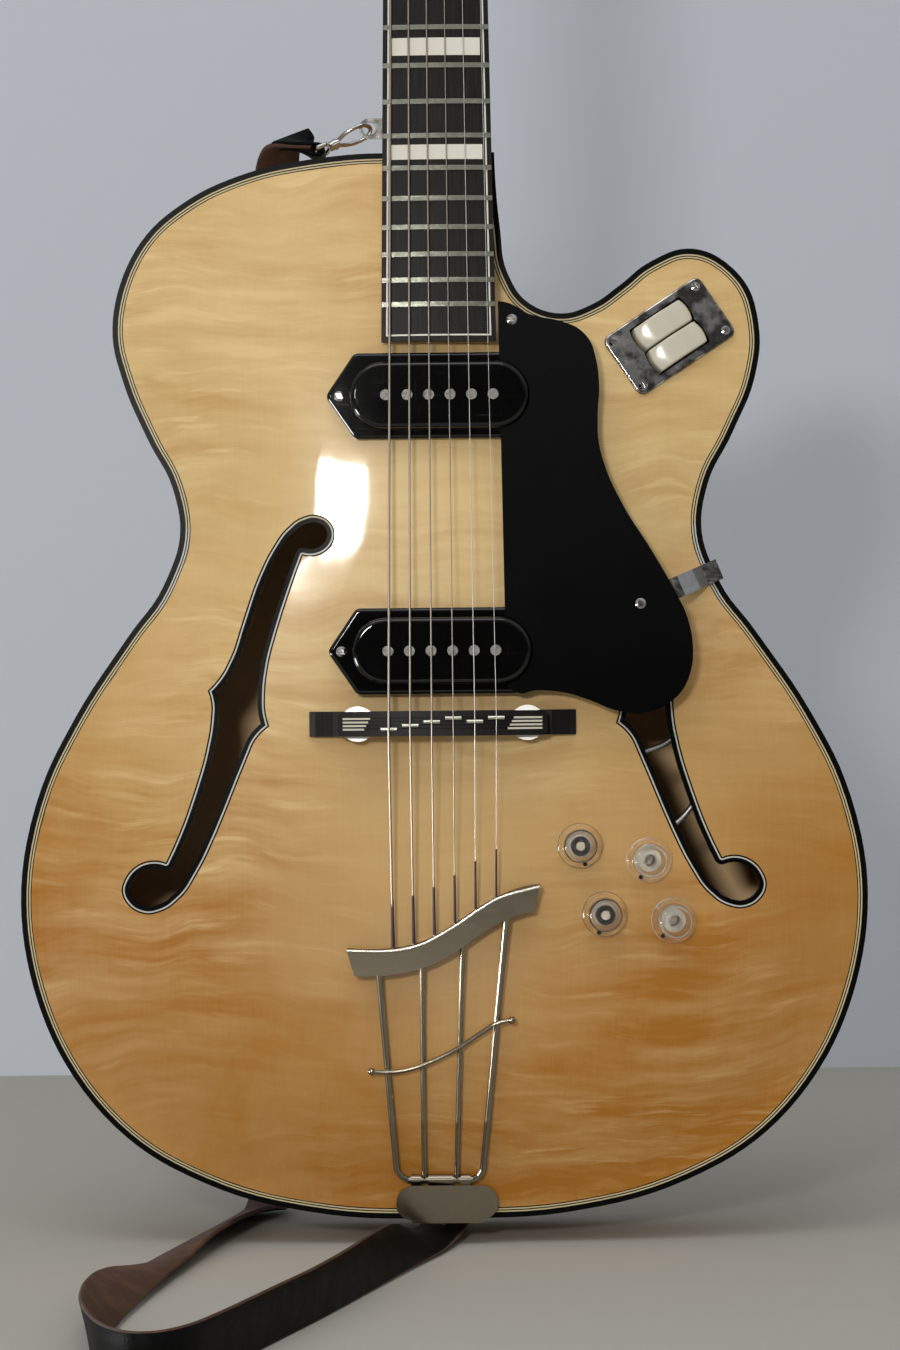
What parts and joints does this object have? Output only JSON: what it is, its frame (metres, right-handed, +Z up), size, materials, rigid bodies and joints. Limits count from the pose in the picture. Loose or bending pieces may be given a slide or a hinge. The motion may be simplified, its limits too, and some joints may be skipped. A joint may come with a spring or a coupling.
{
  "type": "archtop guitar",
  "caption": "Hollow archtop electric guitar with rounded cutaway, bound f-holes, floating bridge, wire tailpiece, twin pickups, raised pickguard, clear knobs, rocker switches and leather strap",
  "frame": {"origin": "middle of the end pin's foot, the lowest point of the guitar", "axes": "+Z up the neck, -Y out of the front, +X towards the treble side"},
  "size_m": [0.424, 0.4842, 1.0813],
  "materials": {
    "wood_top": "high gloss clear lacquer over flamed maple",
    "wood_back": "gloss lacquer",
    "wood_sides": "gloss lacquer",
    "wood_inner": "bare wood",
    "black_binding": "polished",
    "cream_line": "polished",
    "wood_neck": "gloss lacquer",
    "heel_black": "polished",
    "ebony": "oiled and polished",
    "fret_metal": "polished nickel silver",
    "pearl": "pearl",
    "bone": "bone",
    "head_black": "gloss",
    "nickel": "bright nickel, lightly worn",
    "tuner_metal": "bright nickel",
    "tuner_key": "cream button on a nickel stem",
    "string_metal": "flat wound steel",
    "wheel_metal": "bright nickel",
    "black_plastic": "high gloss",
    "pole_metal": "dull nickel",
    "switch_metal": "worn chrome",
    "cream_plastic": "gloss",
    "switch_body": "moulded",
    "clear_plastic": "clear acrylic",
    "pot_metal": "plain",
    "cable_braid": "tinned braid",
    "strap_leather": "smooth black outside, brown suede inside"
  },
  "bodies": {
    "guitar": {"top_plate": "wood_top", "back_plate": "wood_back", "bass_side": "wood_sides", "treble_side": "wood_sides", "linings": "wood_inner", "end_blocks": "wood_inner", "tone_bars": "wood_inner", "top_binding": "black_binding", "back_binding": "black_binding", "black_lines": "black_binding", "purfling": "cream_line", "neck": "wood_neck", "heel_cap": "heel_black", "fingerboard": "ebony", "bridge_base": "ebony", "frets": "fret_metal", "fingerboard_inlays": "pearl", "nut": "bone", "headplate": "head_black", "strap_eye": "nickel", "tailpiece": "nickel", "tailpiece_bracket": "nickel", "pickguard_bracket": "nickel", "snap_hook": "nickel", "end_pin": "nickel", "output_jack": "nickel", "screws": "nickel", "tuner_housings": "tuner_metal", "strings": "string_metal", "bridge_studs": "wheel_metal", "pickup_covers": "black_plastic", "pickguard": "black_plastic", "pole_pieces": "pole_metal", "switch_plate": "switch_metal", "switch_case": "switch_body", "potentiometers": "pot_metal", "cables": "cable_braid", "strap": "strap_leather"},
    "saddle": {"bridge_saddle": "ebony", "saddle_frets": "fret_metal"},
    "thumbwheel_bass": {"thumbwheel_bass": "wheel_metal"},
    "thumbwheel_treble": {"thumbwheel_treble": "wheel_metal"},
    "rocker_upper": {"rocker_upper": "cream_plastic"},
    "rocker_lower": {"rocker_lower": "cream_plastic"},
    "knob_1": {"knob_1": "clear_plastic"},
    "knob_2": {"knob_2": "clear_plastic"},
    "knob_3": {"knob_3": "clear_plastic"},
    "knob_4": {"knob_4": "clear_plastic"},
    "tuner_key_1": {"tuner_key_1": "tuner_key"},
    "tuner_post_1": {"tuner_post_1": "tuner_metal"},
    "tuner_key_2": {"tuner_key_2": "tuner_key"},
    "tuner_post_2": {"tuner_post_2": "tuner_metal"},
    "tuner_key_3": {"tuner_key_3": "tuner_key"},
    "tuner_post_3": {"tuner_post_3": "tuner_metal"},
    "tuner_key_4": {"tuner_key_4": "tuner_key"},
    "tuner_post_4": {"tuner_post_4": "tuner_metal"},
    "tuner_key_5": {"tuner_key_5": "tuner_key"},
    "tuner_post_5": {"tuner_post_5": "tuner_metal"},
    "tuner_key_6": {"tuner_key_6": "tuner_key"},
    "tuner_post_6": {"tuner_post_6": "tuner_metal"}
  },
  "joints": [
    {"name": "tuner_key_1_turn", "type": "hinge", "parent": "guitar", "child": "tuner_key_1", "pos_m": [-0.044, -0.00001, 0.95285], "axis": [-1, 0, 0], "continuous": true},
    {"name": "tuner_post_1_turn", "type": "hinge", "parent": "guitar", "child": "tuner_post_1", "pos_m": [-0.0225, -0.0226, 0.95112], "axis": [0, -0.9598, 0.2807], "continuous": true},
    {"name": "tuner_key_2_turn", "type": "hinge", "parent": "guitar", "child": "tuner_key_2", "pos_m": [-0.044, 0.01122, 0.99124], "axis": [-1, 0, 0], "continuous": true},
    {"name": "tuner_post_2_turn", "type": "hinge", "parent": "guitar", "child": "tuner_post_2", "pos_m": [-0.0225, -0.01137, 0.98952], "axis": [0, -0.9598, 0.2807], "continuous": true},
    {"name": "tuner_key_3_turn", "type": "hinge", "parent": "guitar", "child": "tuner_key_3", "pos_m": [-0.044, 0.02244, 1.02964], "axis": [-1, 0, 0], "continuous": true},
    {"name": "tuner_post_3_turn", "type": "hinge", "parent": "guitar", "child": "tuner_post_3", "pos_m": [-0.0225, -0.00015, 1.02791], "axis": [0, -0.9598, 0.2807], "continuous": true},
    {"name": "tuner_key_4_turn", "type": "hinge", "parent": "guitar", "child": "tuner_key_4", "pos_m": [0.044, 0.02244, 1.02964], "axis": [1, 0, 0], "continuous": true},
    {"name": "tuner_post_4_turn", "type": "hinge", "parent": "guitar", "child": "tuner_post_4", "pos_m": [0.0225, -0.00015, 1.02791], "axis": [0, -0.9598, 0.2807], "continuous": true},
    {"name": "tuner_key_5_turn", "type": "hinge", "parent": "guitar", "child": "tuner_key_5", "pos_m": [0.044, 0.01122, 0.99124], "axis": [1, 0, 0], "continuous": true},
    {"name": "tuner_post_5_turn", "type": "hinge", "parent": "guitar", "child": "tuner_post_5", "pos_m": [0.0225, -0.01137, 0.98952], "axis": [0, -0.9598, 0.2807], "continuous": true},
    {"name": "tuner_key_6_turn", "type": "hinge", "parent": "guitar", "child": "tuner_key_6", "pos_m": [0.044, -0.00001, 0.95285], "axis": [1, 0, 0], "continuous": true},
    {"name": "tuner_post_6_turn", "type": "hinge", "parent": "guitar", "child": "tuner_post_6", "pos_m": [0.0225, -0.0226, 0.95112], "axis": [0, -0.9598, 0.2807], "continuous": true},
    {"name": "knob_1_turn", "type": "hinge", "parent": "guitar", "child": "knob_1", "pos_m": [0.0673, -0.05593, 0.2], "axis": [0.0056, -1, -0.0006], "range_deg": [-150, 150]},
    {"name": "knob_2_turn", "type": "hinge", "parent": "guitar", "child": "knob_2", "pos_m": [0.1014, -0.05536, 0.1926], "axis": [0.0341, -0.9994, -0.0019], "range_deg": [-150, 150]},
    {"name": "knob_3_turn", "type": "hinge", "parent": "guitar", "child": "knob_3", "pos_m": [0.0792, -0.05571, 0.166], "axis": [0.0149, -0.9999, -0.0079], "range_deg": [-150, 150]},
    {"name": "knob_4_turn", "type": "hinge", "parent": "guitar", "child": "knob_4", "pos_m": [0.1132, -0.05458, 0.1626], "axis": [0.0563, -0.9982, -0.0185], "range_deg": [-150, 150]},
    {"name": "rocker_upper_tilt", "type": "hinge", "parent": "guitar", "child": "rocker_upper", "pos_m": [0.11495, -0.03698, 0.45271], "axis": [-0.5541, 0.0403, 0.8314], "range_deg": [-10, 0]},
    {"name": "rocker_lower_tilt", "type": "hinge", "parent": "guitar", "child": "rocker_lower", "pos_m": [0.11495, -0.03698, 0.45271], "axis": [-0.5541, 0.0403, 0.8314], "range_deg": [-10, 0]},
    {"name": "saddle_height", "type": "slide", "parent": "guitar", "child": "saddle", "axis": [0, 1, 0], "range_m": [0, 0.0015]},
    {"name": "thumbwheel_bass_turn", "type": "hinge", "parent": "saddle", "child": "thumbwheel_bass", "pos_m": [-0.0419, -0.06739, 0.26128], "axis": [0, 1, 0], "range_deg": [0, 771.43]},
    {"name": "thumbwheel_treble_turn", "type": "hinge", "parent": "saddle", "child": "thumbwheel_treble", "pos_m": [0.0419, -0.06739, 0.26128], "axis": [0, 1, 0], "range_deg": [0, 771.43]}
  ],
  "couplings": [
    {"joint": "tuner_post_1_turn", "follows": "tuner_key_1_turn", "ratio": 0.071429},
    {"joint": "tuner_post_2_turn", "follows": "tuner_key_2_turn", "ratio": 0.071429},
    {"joint": "tuner_post_3_turn", "follows": "tuner_key_3_turn", "ratio": 0.071429},
    {"joint": "tuner_post_4_turn", "follows": "tuner_key_4_turn", "ratio": 0.071429},
    {"joint": "tuner_post_5_turn", "follows": "tuner_key_5_turn", "ratio": 0.071429},
    {"joint": "tuner_post_6_turn", "follows": "tuner_key_6_turn", "ratio": 0.071429},
    {"joint": "thumbwheel_bass_turn", "follows": "saddle_height", "rad_per_m": 8975.9},
    {"joint": "thumbwheel_treble_turn", "follows": "saddle_height", "rad_per_m": 8975.9}
  ]
}
